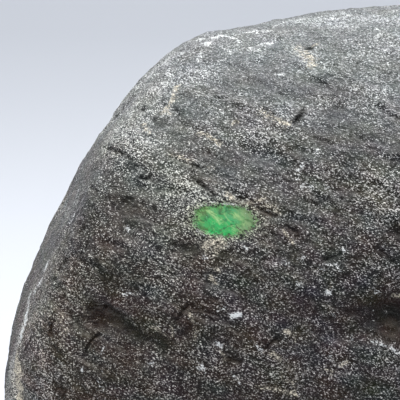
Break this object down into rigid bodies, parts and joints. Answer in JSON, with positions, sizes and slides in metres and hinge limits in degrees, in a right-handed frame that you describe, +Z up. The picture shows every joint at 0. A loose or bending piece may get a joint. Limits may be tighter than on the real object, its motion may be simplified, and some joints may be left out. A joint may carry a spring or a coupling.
{
  "type": "raw jade boulder",
  "caption": "River-worn jade boulder under a dark speckled rind, with one small oval ground window of green jade; rests on a worn flat.",
  "frame": {"origin": "centre of the boulder's footprint box, on the worn flat that it rests on", "axes": "+Z up; +X along the boulder's length, to the right when looking at the face with the ground window; the window face looks along -Y"},
  "size_m": [0.3026, 0.2166, 0.244],
  "materials": {
    "rind": "dark grey river-worn rind with pale grains, satin where worn; one small ground window shows polished green jade"
  },
  "bodies": {
    "root": {"boulder": "rind"}
  },
  "joints": []
}
